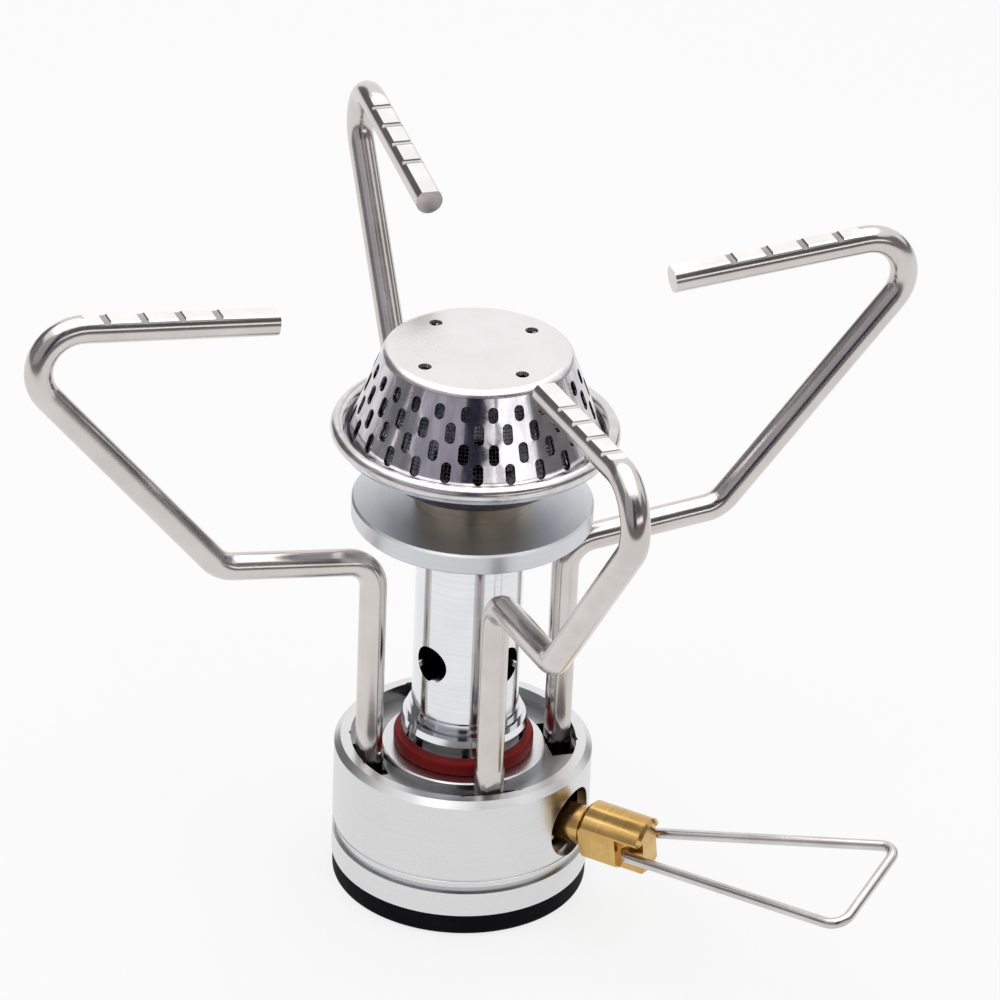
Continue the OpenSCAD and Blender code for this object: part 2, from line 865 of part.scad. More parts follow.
module burner_column() {
    color("whitesmoke")
        difference() {
            rotate_extrude()
                column_profile();
            for (i = [0:3])
                rotate([0, 0, air_hole_turn + 90 * i])
                    translate([0, 0, gasket_z + air_hole_h])
                    rotate([0, 90, 0])
                    cylinder(d = air_hole_d, h = column_d);
        }
}

module heat_shield() {
    r = shield_d / 2;
    c = shield_chamfer;
    bore = tube_r + slip_fit;
    color("lightgray")
        rotate_extrude()
        polygon([
            [bore, shield_z], [r - c, shield_z], [r, shield_z + c],
            [r, nut_z - c], [r - c, nut_z], [bore, nut_z]
        ]);
}

module burner_nut() {
    bore = tube_r + slip_fit;
    groove = 0.5;
    band = nut_h / 3;
    r = nut_d / 2;
    color("darkkhaki")
        rotate_extrude()
        polygon([
            [bore, nut_z], [r, nut_z], [r, nut_z + 2 * band], [r - groove, nut_z + 2 * band],
            [r - groove, nut_z + 2 * band + groove], [r, nut_z + 2 * band + groove],
            [r, cup_z], [bore, cup_z]
        ]);
}

module burner_cup() {
    bore = tube_r + slip_fit;
    flat_r = cup_flat_d / 2;
    lip_r = rim_major;
    wall_r = cone_base_r - face_gap;
    color("silver")
        rotate_extrude()
        polygon([
            [bore, cup_z], [flat_r, cup_z], [wall_r, lip_z - sheet_t], [lip_r, lip_z - sheet_t],
            [lip_r, lip_z], [wall_r - 2.4 * sheet_t, lip_z],
            [flat_r - sheet_t, cup_z + sheet_t], [bore, cup_z + sheet_t]
        ]);
}

module burner_rim() {
    color("whitesmoke")
        translate([0, 0, bead_z])
        torus(rim_major, bead_r);
}

// Outer face of the flame cone at a distance s down its slope from the top
function slope_r(s) = cone_top_r + s * sin(cone_lean);
function slope_z(s) = cone_top_z - s * cos(cone_lean);

module slot_cut(l) {
    linear_extrude(height = 6 * sheet_t, center = true)
        union() {
            square([l - slot_w, slot_w], center = true);
            for (side = [-1, 1])
                translate([side * (l - slot_w) / 2, 0])
                    circle(d = slot_w, $fn = 24);
        }
}

module flame_cone() {
    foot_in = cone_base_r - 1.2;
    t = sheet_t / cos(cone_lean);
    color("silver")
        difference() {
            rotate_extrude()
                polygon([
                    [foot_in, lip_z], [cone_base_r, lip_z], [cone_base_r, cone_z],
                    [cone_top_r, cone_top_z], [cone_top_r - t, cone_top_z],
                    [cone_base_r - t, cone_z], [foot_in, cone_z]
                ]);
            for (row = [0:slot_rows - 1], i = [0:slot_count - 1]) {
                s = slot_first + row * slot_pitch;
                rotate([0, 0, slot_turn + (i + (row + 1) % 2 / 2) * 360 / slot_count])
                    translate([slope_r(s), 0, slope_z(s)])
                    rotate([0, 90 - cone_lean, 0])
                    slot_cut(row == 0 ? slot_top_l : slot_l);
            }
        }
}

module flame_mesh() {
    inset = (sheet_t + mesh_gap) / cos(cone_lean);
    t = mesh_t / cos(cone_lean);
    foot_out = cone_base_r - 1.2 - slip_fit;
    foot_in = foot_out - 0.8;
    low_r = foot_out;
    low_z = cone_top_z - (low_r + inset - cone_top_r) / tan(cone_lean);
    color("dimgray")
        rotate_extrude()
        polygon([
            [foot_in, lip_z], [low_r, lip_z], [low_r, low_z],
            [cone_top_r - inset, cone_top_z], [cone_top_r - inset - t, cone_top_z],
            [low_r - t, low_z], [foot_in, low_z]
        ]);
}

// The shoulder runs smoothly down into the slope of the cone
module top_plate() {
    color("whitesmoke")
        difference() {
            union() {
                translate([0, 0, crown_z - sheet_t])
                    cylinder(r = flat_r, h = sheet_t);
                translate([0, 0, shoulder_z])
                    torus(flat_r, shoulder_r);
            }
            translate([0, 0, plate_low_z - 3 * shoulder_r])
                cylinder(r = flat_r + 2 * shoulder_r, h = 3 * shoulder_r);
            translate([0, 0, plate_low_z - overcut])
                cylinder(r = flat_r - sheet_t, h = crown_z - sheet_t - plate_low_z + overcut);
            for (i = [0:3])
                rotate([0, 0, plate_hole_turn + 90 * i])
                    translate([plate_hole_pcd / 2, 0, shoulder_z])
                    cylinder(d = plate_hole_d, h = shoulder_r + overcut);
        }
}

// Pot supports

// Cuts the flat along the top of the run and the grooves pressed across it
module support_notches(path) {
    tip = path[4];
    run = path[3] - tip;
    top = rod_d / 2;
    flat_l = notch_first + (notch_count - 1) * notch_pitch + flat_past;
    translate([tip.x, tip.y, 0])
        rotate([0, 0, atan2(run.y, run.x)]) {
            linear_extrude(height = rod_d + overcut, center = true)
                polygon([
                    [-overcut, top - flat_depth], [flat_l, top - flat_depth],
                    [flat_l + 2 * flat_ramp, top + flat_depth], [-overcut, top + flat_depth]
                ]);
            for (i = [0:notch_count - 1])
                translate([notch_first + i * notch_pitch, top - flat_depth - notch_depth + notch_r, 0])
                    cylinder(r = notch_r, h = rod_d + overcut, center = true);
        }
}

module support_foot() {
    translate([0, 0, lug_z])
        intersection() {
            cylinder(d = lug_w, h = lug_h);
            translate([-lug_t / 2, -lug_w / 2, 0])
                cube([lug_t, lug_w, lug_h]);
        }
    translate([0, 0, clip_z + clip_t + face_gap / 4])
        cylinder(d = rod_d, h = lug_z - clip_z - clip_t - face_gap / 4);
    translate([0, 0, clip_z - face_gap / 4])
        cylinder(r = clip_groove_r, h = clip_t + face_gap / 2);
    translate([0, 0, leg_end])
        cylinder(d = rod_d, h = clip_z - leg_end - face_gap / 4);
}

module pot_support(i) {
    color("lightgray")
        at_leg(i)
        translate([0, 0, support_rise[i]])
        rotate([0, 0, support_set[i]])
        union() {
            rotate([90, 0, 0])
                difference() {
                    bent_rod(support_path(i), SUPPORT_BENDS, rod_d);
                    support_notches(support_path(i));
                }
            support_foot();
        }
}

module support_clip(i) {
    color("gray")
        at_leg(i)
        translate([0, 0, support_rise[i]])
        rotate([0, 0, support_set[i]])
        difference() {
            ring(clip_r, clip_groove_r + slip_fit, clip_z, clip_z + clip_t);
            translate([-clip_r - overcut, -clip_groove_r / 2, clip_z - overcut])
                cube([clip_r + overcut, clip_groove_r, clip_t + 2 * overcut]);
        }
}

// Each spring is drawn as the sleeve that its coils fill
module leg_spring(i) {
    color("slategray")
        at_leg(i)
        ring(spring_r + spring_wire, spring_r, spring_z + support_rise[i], spring_top);
}

base_shell();
base_plate();
foot_ring();
base_screws();
valve_body();
canister_seal();
depressor_pin();
gas_filter();
jet();
gland_nut();
spindle_seal();
valve_needle();
valve_spindle();
control_wire();
column_gasket();
burner_column();
heat_shield();
burner_nut();
burner_cup();
burner_rim();
flame_cone();
flame_mesh();
top_plate();
pot_support(0);  // pot_support_1
pot_support(1);  // pot_support_2
pot_support(2);  // pot_support_3
pot_support(3);  // pot_support_4
support_clip(0);  // support_clip_1
support_clip(1);  // support_clip_2
support_clip(2);  // support_clip_3
support_clip(3);  // support_clip_4
leg_spring(0);  // leg_spring_1
leg_spring(1);  // leg_spring_2
leg_spring(2);  // leg_spring_3
leg_spring(3);  // leg_spring_4
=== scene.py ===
import math

import bpy
from mathutils import Matrix, Vector


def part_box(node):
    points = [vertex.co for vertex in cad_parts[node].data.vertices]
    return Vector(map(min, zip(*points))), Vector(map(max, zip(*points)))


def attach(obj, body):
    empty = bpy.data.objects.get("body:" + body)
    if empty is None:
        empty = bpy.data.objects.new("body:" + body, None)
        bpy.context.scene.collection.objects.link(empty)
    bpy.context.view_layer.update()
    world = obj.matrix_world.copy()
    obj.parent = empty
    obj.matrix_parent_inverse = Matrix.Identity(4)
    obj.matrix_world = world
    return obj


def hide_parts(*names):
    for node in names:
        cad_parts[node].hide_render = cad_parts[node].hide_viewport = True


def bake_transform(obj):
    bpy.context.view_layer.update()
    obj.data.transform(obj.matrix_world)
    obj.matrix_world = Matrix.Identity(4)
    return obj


MM = 0.001
UP = Vector((0, 0, 1))

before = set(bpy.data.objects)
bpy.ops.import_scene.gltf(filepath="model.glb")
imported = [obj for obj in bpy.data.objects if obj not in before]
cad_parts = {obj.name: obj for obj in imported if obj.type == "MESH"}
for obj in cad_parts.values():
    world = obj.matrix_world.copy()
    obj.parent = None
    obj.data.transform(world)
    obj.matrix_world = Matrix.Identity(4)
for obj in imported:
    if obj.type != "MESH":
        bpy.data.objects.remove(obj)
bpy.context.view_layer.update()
bpy.ops.object.select_all(action="DESELECT")
scene = bpy.context.scene


# The camera stands where the photograph was taken from

CAMERA_PLACE = Vector((305.36, -550.83, 410.40)) * MM
CAMERA_TURN = math.radians(28.647)
CAMERA_DOWN = math.radians(28.921)
CAMERA_ROLL = math.radians(2.454)
CAMERA_LENS = 180.64
CAMERA_SENSOR = 36
CAMERA_NEAREST = 0.05
CAMERA_FURTHEST = 20


def set_camera():
    ahead = Vector((
        -math.sin(CAMERA_TURN) * math.cos(CAMERA_DOWN),
        math.cos(CAMERA_TURN) * math.cos(CAMERA_DOWN),
        -math.sin(CAMERA_DOWN),
    ))
    level = ahead.cross(UP).normalized()
    over = level.cross(ahead)
    right = level * math.cos(CAMERA_ROLL) + over * math.sin(CAMERA_ROLL)
    top = over * math.cos(CAMERA_ROLL) - level * math.sin(CAMERA_ROLL)
    bpy.ops.object.camera_add()
    camera = bpy.context.object
    camera.name = "photo_camera"
    camera.matrix_world = Matrix((
        (right.x, top.x, -ahead.x, CAMERA_PLACE.x),
        (right.y, top.y, -ahead.y, CAMERA_PLACE.y),
        (right.z, top.z, -ahead.z, CAMERA_PLACE.z),
        (0, 0, 0, 1),
    ))
    camera.data.sensor_width = CAMERA_SENSOR
    camera.data.lens = CAMERA_LENS
    camera.data.clip_start = CAMERA_NEAREST
    camera.data.clip_end = CAMERA_FURTHEST
    scene.camera = camera


set_camera()


# Finishes: small helpers that join nodes

def new_tree(name):
    material = bpy.data.materials.new(name)
    material.use_nodes = True
    tree = material.node_tree
    tree.nodes.clear()
    out = tree.nodes.new("ShaderNodeOutputMaterial")
    return material, tree, out.inputs["Surface"]


def new_finish(name):
    material, tree, surface = new_tree(name)
    shade = tree.nodes.new("ShaderNodeBsdfPrincipled")
    tree.links.new(shade.outputs["BSDF"], surface)
    return material, tree, shade


def new_metal(name):
    material, tree, shade = new_finish(name)
    shade.inputs["Metallic"].default_value = 1
    return material, tree, shade


def feed(tree, socket, value):
    if isinstance(value, bpy.types.NodeSocket):
        tree.links.new(value, socket)
    else:
        socket.default_value = value


def sums(tree, operation, first, second=0.0):
    node = tree.nodes.new("ShaderNodeMath")
    node.operation = operation
    feed(tree, node.inputs[0], first)
    feed(tree, node.inputs[1], second)
    return node.outputs[0]


def shared(tree, first, second, share):
    return sums(
        tree, "ADD",
        sums(tree, "MULTIPLY", first, share),
        sums(tree, "MULTIPLY", second, 1 - share),
    )


def spread(tree, value, band, onto=(0, 1)):
    node = tree.nodes.new("ShaderNodeMapRange")
    feed(tree, node.inputs["Value"], value)
    node.inputs["From Min"].default_value = band[0]
    node.inputs["From Max"].default_value = band[1]
    node.inputs["To Min"].default_value = onto[0]
    node.inputs["To Max"].default_value = onto[1]
    return node.outputs["Result"]


def blend_colours(tree, share, first, second):
    node = tree.nodes.new("ShaderNodeMix")
    node.data_type = "RGBA"
    feed(tree, node.inputs[0], share)
    for socket, colour in ((node.inputs[6], first), (node.inputs[7], second)):
        feed(tree, socket, colour if isinstance(colour, bpy.types.NodeSocket) else (*colour, 1))
    return node.outputs[2]


def grain(tree, place, scale, detail):
    node = tree.nodes.new("ShaderNodeTexNoise")
    feed(tree, node.inputs["Vector"], place)
    node.inputs["Scale"].default_value = scale
    node.inputs["Detail"].default_value = detail
    return node.outputs["Fac"]


def relief(tree, shade, height, strength, depth):
    node = tree.nodes.new("ShaderNodeBump")
    node.inputs["Strength"].default_value = strength
    node.inputs["Distance"].default_value = depth * MM
    feed(tree, node.inputs["Height"], height)
    tree.links.new(node.outputs["Normal"], shade.inputs["Normal"])


def own_place(tree):
    return tree.nodes.new("ShaderNodeTexCoord").outputs["Object"]


def own_axes(tree):
    node = tree.nodes.new("ShaderNodeSeparateXYZ")
    tree.links.new(own_place(tree), node.inputs[0])
    return node.outputs[0], node.outputs[1], node.outputs[2]


def joined_axes(tree, x, y, z):
    node = tree.nodes.new("ShaderNodeCombineXYZ")
    for socket, value in zip(node.inputs, (x, y, z)):
        feed(tree, socket, value)
    return node.outputs[0]


def reach_from(tree, first, second):
    first_square = sums(tree, "MULTIPLY", first, first)
    second_square = sums(tree, "MULTIPLY", second, second)
    return sums(tree, "SQRT", sums(tree, "ADD", first_square, second_square))


def below(tree, value, edge, soft):
    node = tree.nodes.new("ShaderNodeMapRange")
    node.interpolation_type = "SMOOTHSTEP"
    feed(tree, node.inputs["Value"], value)
    node.inputs["From Min"].default_value = (edge - soft) * MM
    node.inputs["From Max"].default_value = (edge + soft) * MM
    node.inputs["To Min"].default_value = 1
    node.inputs["To Max"].default_value = 0
    return node.outputs["Result"]


WEAR_BAND = (0.3, 0.7)


def dress(tree, shade, colour, wear, rough):
    feed(tree, shade.inputs["Base Color"], colour)
    feed(tree, shade.inputs["Roughness"], spread(tree, wear, WEAR_BAND, rough))


# Turned metal: tool marks run round the stove's own axis; a groove and a hollow may also get painted
# shade, tinted darker

LATHE_COARSE = 1900
LATHE_FINE = 5200
LATHE_PATCHES = 130
LATHE_PATCH_SHARE = 0.6
LATHE_BAND = (0.35, 0.65)
LATHE_DEPTH = 0.01
GROOVE_SOFT_SIDE = 0.1
GROOVE_SOFT_FLOOR = 0.5
INSIDE_SOFT_SIDE = 0.12
INSIDE_SOFT_TOP = 0.25


def turned_metal(name, dull, bright, rough, inside=None, groove=None, marks=0.2):
    material, tree, shade = new_metal(name)
    x, y, z = own_axes(tree)
    radius = reach_from(tree, x, y)
    lathe = joined_axes(tree, radius, 0.0, z)
    coarse = grain(tree, lathe, LATHE_COARSE, 2)
    fine = grain(tree, lathe, LATHE_FINE, 3)
    patches = grain(tree, own_place(tree), LATHE_PATCHES, 4)
    tone = shared(tree, patches, coarse, LATHE_PATCH_SHARE)
    colour = blend_colours(tree, spread(tree, tone, LATHE_BAND), dull, bright)
    # Painted shade: between the two radii and below the floor height the groove is tinted darker, where
    # shade falls
    if groove:
        inner_r, outer_r, floor_z, shade_tint = groove
        within = below(tree, radius, outer_r, GROOVE_SOFT_SIDE)
        between = sums(tree, "SUBTRACT", within, below(tree, radius, inner_r, GROOVE_SOFT_SIDE))
        groove_shade_mask = sums(tree, "MULTIPLY", between, below(tree, z, floor_z, GROOVE_SOFT_FLOOR))
        colour = blend_colours(tree, groove_shade_mask, colour, shade_tint)
    # Painted shade: inside the edge radius and below the edge height the hollow is tinted dark, where
    # shade falls
    if inside:
        edge_r, edge_z, shade_tint = inside
        within = below(tree, radius, edge_r, INSIDE_SOFT_SIDE)
        hollow_shade_mask = sums(tree, "MULTIPLY", within, below(tree, z, edge_z, INSIDE_SOFT_TOP))
        colour = blend_colours(tree, hollow_shade_mask, colour, shade_tint)
    dress(tree, shade, colour, fine, rough)
    relief(tree, shade, sums(tree, "ADD", fine, coarse), marks, LATHE_DEPTH)
    return material


# Pressed plate: bright rolled sheet with an even, fine grain

ROLLED_CLOUDS = 150
ROLLED_FINE = 3000
ROLLED_BAND = (0.35, 0.65)
ROLLED_MARKS = 0.012
ROLLED_DEPTH = 0.008


def rolled_sheet(name, dull, bright, rough):
    material, tree, shade = new_metal(name)
    clouds = grain(tree, own_place(tree), ROLLED_CLOUDS, 4)
    fine = grain(tree, own_place(tree), ROLLED_FINE, 3)
    colour = blend_colours(tree, spread(tree, clouds, ROLLED_BAND), dull, bright)
    dress(tree, shade, colour, fine, rough)
    relief(tree, shade, fine, ROLLED_MARKS, ROLLED_DEPTH)
    return material


# Sheet steel: drawn streaks run up the slope, and an inner face may get painted shade, tinted dark

DRAWN_STREAKS = 9.0
DRAWN_STRETCH = 18.0
DRAWN_FINE = 2600
DRAWN_BAND = (0.34, 0.66)
DRAWN_MARKS = 0.06
DRAWN_DEPTH = 0.01
INNER_SHADE_SOFT = 0.08


def drawn_sheet(name, dull, bright, rough, inner_shade=None):
    material, tree, shade = new_metal(name)
    x, y, z = own_axes(tree)
    radius = reach_from(tree, x, y)
    around = sums(tree, "ARCTAN2", y, x)
    rise = sums(tree, "MULTIPLY", z, DRAWN_STRETCH)
    slope = joined_axes(tree, sums(tree, "COSINE", around), sums(tree, "SINE", around), rise)
    streak = grain(tree, slope, DRAWN_STREAKS, 3)
    fine = grain(tree, own_place(tree), DRAWN_FINE, 3)
    colour = blend_colours(tree, spread(tree, streak, DRAWN_BAND), dull, bright)
    # Painted shade: the inner face, inside the sloping line from the foot, is tinted dark, where shade
    # falls inside the burner
    if inner_shade:
        foot_r, foot_z, fall, shade_tint = inner_shade
        climb = sums(tree, "SUBTRACT", z, foot_z * MM)
        slope_r = sums(tree, "ADD", radius, sums(tree, "MULTIPLY", climb, fall))
        colour = blend_colours(tree, below(tree, slope_r, foot_r, INNER_SHADE_SOFT), colour, shade_tint)
    dress(tree, shade, colour, fine, rough)
    relief(tree, shade, fine, DRAWN_MARKS, DRAWN_DEPTH)
    return material


# Polished rod and wire: tumbled bright, with a faint cloudiness

TUMBLED_CLOUDS = 160
TUMBLED_FINE = 3800
TUMBLED_BAND = (0.36, 0.64)
TUMBLED_MARKS = 0.005
TUMBLED_DEPTH = 0.006


def tumbled_rod(name, dull, bright, rough, speckle=0.15):
    material, tree, shade = new_metal(name)
    clouds = grain(tree, own_place(tree), TUMBLED_CLOUDS, 4)
    fine = grain(tree, own_place(tree), TUMBLED_FINE, 3)
    tone = shared(tree, clouds, fine, 1 - speckle)
    colour = blend_colours(tree, spread(tree, tone, TUMBLED_BAND), dull, bright)
    dress(tree, shade, colour, clouds, rough)
    relief(tree, shade, fine, TUMBLED_MARKS, TUMBLED_DEPTH)
    return material


# Brass: turned about the valve's axis, 14.2 mm above the foot

VALVE_HEIGHT = 14.2
BRASS_MARKS = 3400
BRASS_TARNISH = 240
BRASS_TARNISH_SHARE = 0.65
BRASS_BAND = (0.36, 0.64)
BRASS_RELIEF = 0.12
BRASS_DEPTH = 0.012


def turned_brass(name, dull, bright, rough):
    material, tree, shade = new_metal(name)
    x, y, z = own_axes(tree)
    radius = reach_from(tree, y, sums(tree, "SUBTRACT", z, VALVE_HEIGHT * MM))
    lathe = joined_axes(tree, x, 0.0, radius)
    marks = grain(tree, lathe, BRASS_MARKS, 3)
    tarnish = grain(tree, own_place(tree), BRASS_TARNISH, 4)
    tone = shared(tree, tarnish, marks, BRASS_TARNISH_SHARE)
    colour = blend_colours(tree, spread(tree, tone, BRASS_BAND), dull, bright)
    dress(tree, shade, colour, marks, rough)
    relief(tree, shade, marks, BRASS_RELIEF, BRASS_DEPTH)
    return material


# Rubber and silicone: moulded, with a dusty bloom

SKIN_GRAIN = 4200
BLOOM_BAND = (0.4, 0.72)
SKIN_MARKS = 0.2
SKIN_DEPTH = 0.015


def moulded_rubber(name, deep, bloom, rough, scale, shine=0.25):
    material, tree, shade = new_finish(name)
    dust = grain(tree, own_place(tree), scale, 4)
    skin = grain(tree, own_place(tree), SKIN_GRAIN, 2)
    colour = blend_colours(tree, spread(tree, dust, BLOOM_BAND), deep, bloom)
    dress(tree, shade, colour, dust, rough)
    shade.inputs["Specular IOR Level"].default_value = shine
    relief(tree, shade, skin, SKIN_MARKS, SKIN_DEPTH)
    return material


# Sintered bronze: fused grains with dark pores between them

SINTER_CELLS = 5200
SINTER_BAND = (0.1, 0.6)
SINTER_ROUGH = (0.4, 0.65)
SINTER_DOME = (0, 0.7)
SINTER_MARKS = 0.6
SINTER_DEPTH = 0.08


def sintered_grains(name, dull, bright):
    material, tree, shade = new_metal(name)
    cells = tree.nodes.new("ShaderNodeTexVoronoi")
    cells.inputs["Scale"].default_value = SINTER_CELLS
    tree.links.new(own_place(tree), cells.inputs["Vector"])
    pores = cells.outputs["Distance"]
    colour = blend_colours(tree, spread(tree, pores, SINTER_BAND), bright, dull)
    feed(tree, shade.inputs["Base Color"], colour)
    feed(tree, shade.inputs["Roughness"], spread(tree, pores, SINTER_BAND, SINTER_ROUGH))
    relief(tree, shade, spread(tree, pores, SINTER_DOME, (1, 0)), SINTER_MARKS, SINTER_DEPTH)
    return material


# Painted shade, tinted dark where shade falls in hollows, grooves and gaps: inner radius, outer radius
# and height in millimetres, then the shade's colour

PAINTED_HOLLOW_SHADE = (0.045, 0.016, 0.012)
PAINTED_INNER_SHADE = (0.03, 0.026, 0.03)
ANY_HEIGHT = 200
BASE_HOLLOW_SHADE = (17.2, 20.15, PAINTED_HOLLOW_SHADE)
BASE_GROOVE_SHADE = (12.1, 16.63, 20.9, (0.42, 0.43, 0.44))
SEAM_GAP_SHADE = (18.2, 18.62, ANY_HEIGHT, (0.45, 0.455, 0.465))
COLUMN_BORE_SHADE = (7.3, ANY_HEIGHT, PAINTED_HOLLOW_SHADE)
CONE_INNER_SHADE = (17.95, 73.6, 0.378, PAINTED_INNER_SHADE)


# One finish for each kind of piece: dull tone, bright tone, then the range of roughness

# The base carries painted shade: its hollow and port are tinted dark, and the groove round the boss is
# tinted darker
base_aluminium = turned_metal(
    "base_aluminium", (0.71, 0.71, 0.715), (0.735, 0.735, 0.74), (0.27, 0.285),
    inside=BASE_HOLLOW_SHADE, groove=BASE_GROOVE_SHADE, marks=0.006)
# The plate carries painted shade: the gap below the seam is tinted darker
plate_aluminium = turned_metal(
    "plate_aluminium", (0.725, 0.725, 0.73), (0.75, 0.75, 0.755), (0.27, 0.285),
    groove=SEAM_GAP_SHADE, marks=0.006)
shield_aluminium = turned_metal(
    "shield_aluminium", (0.66, 0.675, 0.705), (0.73, 0.74, 0.765), (0.36, 0.4), marks=0.05)
# The column carries painted shade: its bore is tinted dark
column_chrome = turned_metal(
    "column_chrome", (0.72, 0.74, 0.765), (0.82, 0.835, 0.85), (0.07, 0.12),
    inside=COLUMN_BORE_SHADE, marks=0.08)
nut_nickel = turned_metal("nut_nickel", (0.52, 0.45, 0.33), (0.68, 0.6, 0.45), (0.2, 0.28))
socket_brass = turned_metal(
    "socket_brass", (0.5, 0.28, 0.07), (0.64, 0.39, 0.12), (0.26, 0.36), marks=0.1)
# The cone carries painted shade: its inner face is tinted dark
cone_sheet = drawn_sheet(
    "cone_sheet", (0.5, 0.485, 0.53), (0.74, 0.725, 0.76), (0.1, 0.15), CONE_INNER_SHADE)
rim_sheet = drawn_sheet("rim_sheet", (0.62, 0.605, 0.6), (0.74, 0.725, 0.72), (0.18, 0.25))
cup_sheet = drawn_sheet("cup_sheet", (0.4, 0.41, 0.46), (0.52, 0.53, 0.59), (0.25, 0.36))
plate_sheet = rolled_sheet("plate_sheet", (0.785, 0.765, 0.765), (0.825, 0.805, 0.805), (0.25, 0.28))
rod_stainless = tumbled_rod(
    "rod_stainless", (0.61, 0.565, 0.54), (0.68, 0.64, 0.615), (0.16, 0.21))
# Painted highlight: the tip flats get this lighter copy of the rod's finish, as if lit from above
flat_lit_stainless = tumbled_rod(
    "flat_lit_stainless", (0.86, 0.84, 0.835), (0.93, 0.915, 0.91), (0.26, 0.32))
# Painted shade: the pressed grooves get this darker copy of the rod's finish
groove_shade_stainless = tumbled_rod(
    "groove_shade_stainless", (0.32, 0.305, 0.3), (0.42, 0.4, 0.395), (0.35, 0.42))
wire_nickel = tumbled_rod("wire_nickel", (0.56, 0.54, 0.53), (0.68, 0.66, 0.65), (0.2, 0.27))
spring_steel = tumbled_rod("spring_steel", (0.35, 0.36, 0.38), (0.48, 0.49, 0.5), (0.25, 0.35))
screw_steel = tumbled_rod("screw_steel", (0.24, 0.24, 0.25), (0.36, 0.36, 0.37), (0.3, 0.42))
mesh_steel = tumbled_rod(
    "mesh_steel", (0.12, 0.115, 0.12), (0.85, 0.835, 0.83), (0.2, 0.28), speckle=0.85)
valve_brass = turned_brass("valve_brass", (0.54, 0.325, 0.095), (0.7, 0.475, 0.18), (0.17, 0.24))
foot_rubber = moulded_rubber(
    "foot_rubber", (0.0035, 0.0035, 0.005), (0.008, 0.008, 0.011), (0.55, 0.68), 300, shine=0.05)
seal_rubber = moulded_rubber(
    "seal_rubber", (0.01, 0.01, 0.01), (0.02, 0.02, 0.02), (0.4, 0.55), 500)
gasket_silicone = moulded_rubber(
    "gasket_silicone", (0.21, 0.008, 0.008), (0.29, 0.016, 0.014), (0.4, 0.52), 260, shine=0.15)
filter_bronze = sintered_grains("filter_bronze", (0.12, 0.06, 0.025), (0.5, 0.29, 0.12))

LEGS = (1, 2, 3, 4)
FINISHES = {
    "base_shell": base_aluminium,
    "base_plate": plate_aluminium,
    "foot_ring": foot_rubber,
    "base_screws": screw_steel,
    "valve_body": socket_brass,
    "canister_seal": seal_rubber,
    "depressor_pin": spring_steel,
    "gas_filter": filter_bronze,
    "jet": valve_brass,
    "gland_nut": valve_brass,
    "spindle_seal": seal_rubber,
    "valve_needle": spring_steel,
    "valve_spindle": valve_brass,
    "control_wire": wire_nickel,
    "column_gasket": gasket_silicone,
    "burner_column": column_chrome,
    "heat_shield": shield_aluminium,
    "burner_nut": nut_nickel,
    "burner_cup": cup_sheet,
    "burner_rim": rim_sheet,
    "flame_cone": cone_sheet,
    "flame_mesh": mesh_steel,
    "top_plate": plate_sheet,
}
for number in LEGS:
    FINISHES[f"leg_spring_{number}"] = spring_steel
    FINISHES[f"pot_support_{number}"] = rod_stainless
    FINISHES[f"support_clip_{number}"] = screw_steel
for name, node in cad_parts.items():
    node.data.materials.clear()
    node.data.materials.append(FINISHES[name])


# Shaping: steps that most pieces share

JOIN_DISTANCE = 0.00001
SMOOTH_ANGLE = math.radians(38)


def clear_selection():
    bpy.ops.object.select_all(action="DESELECT")


def make_active(piece):
    clear_selection()
    piece.select_set(True)
    bpy.context.view_layer.objects.active = piece


def fix_place():
    bpy.ops.object.transform_apply(location=True, rotation=True, scale=True)


def rename(piece, name):
    piece.name = name
    piece.data.name = name


def close_ends():
    bpy.ops.mesh.select_all(action="SELECT")
    bpy.ops.mesh.remove_doubles(threshold=JOIN_DISTANCE)
    bpy.ops.mesh.fill_holes(sides=0)
    bpy.ops.mesh.normals_make_consistent(inside=False)
    bpy.ops.object.mode_set(mode="OBJECT")


def wind_up(piece, pitch, turns, steps):
    make_active(piece)
    wind = piece.modifiers.new("wind", "SCREW")
    wind.axis = "Z"
    wind.angle = 2 * math.pi
    wind.screw_offset = pitch * MM
    wind.iterations = turns
    wind.steps = steps
    wind.render_steps = steps
    bpy.ops.object.modifier_apply(modifier="wind")
    bpy.ops.object.mode_set(mode="EDIT")
    close_ends()


def cut_away(piece, tool, finish):
    tool.data.materials.append(finish)
    make_active(piece)
    cut = piece.modifiers.new("cut", "BOOLEAN")
    cut.operation = "DIFFERENCE"
    cut.solver = "EXACT"
    cut.material_mode = "TRANSFER"
    cut.object = tool
    bpy.ops.object.modifier_apply(modifier="cut")
    bpy.data.objects.remove(tool, do_unlink=True)


def ease_edges(piece, width, angle):
    make_active(piece)
    bevel = piece.modifiers.new("edges", "BEVEL")
    bevel.width = width * MM
    bevel.segments = 2
    bevel.limit_method = "ANGLE"
    bevel.angle_limit = math.radians(angle)
    bpy.ops.object.modifier_apply(modifier="edges")


def set_in_place(piece, place):
    piece.matrix_world = place
    make_active(piece)
    fix_place()
    bpy.ops.object.shade_smooth_by_angle(angle=SMOOTH_ANGLE)


# Bending rod: a ring is drawn along the straight runs and spun round the bends

def start_ring(name, middle, along, diameter, sides, finish):
    clear_selection()
    bpy.ops.mesh.primitive_circle_add(
        vertices=sides,
        radius=diameter / 2 * MM,
        location=middle * MM,
        rotation=along.to_track_quat("Z", "Y").to_euler(),
    )
    piece = bpy.context.object
    rename(piece, name)
    piece.data.materials.append(finish)
    fix_place()
    bpy.ops.object.mode_set(mode="EDIT")
    bpy.ops.mesh.select_all(action="SELECT")
    return piece


